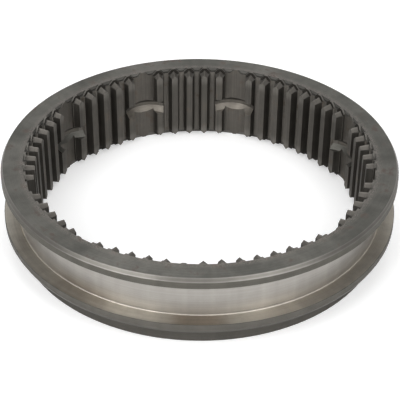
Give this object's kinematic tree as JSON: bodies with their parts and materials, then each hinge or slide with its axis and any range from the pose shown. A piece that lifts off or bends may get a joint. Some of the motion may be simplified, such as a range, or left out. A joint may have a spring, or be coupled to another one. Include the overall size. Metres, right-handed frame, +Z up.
{
  "type": "synchronizer sleeve",
  "caption": "Steel ring with an internal spline of pointed teeth, key slots with detent grooves, and a shift fork groove round its outside.",
  "frame": {"origin": "centre of the lower end face, on the axis of the ring", "axes": "+Z up the axis towards the face of the thicker flange, +Y through the middle key slot of one group of three"},
  "size_m": [0.166, 0.166, 0.035],
  "materials": {
    "steel": "turned and broached, lightly oiled"
  },
  "bodies": {
    "root": {"sleeve": "steel"}
  },
  "joints": []
}
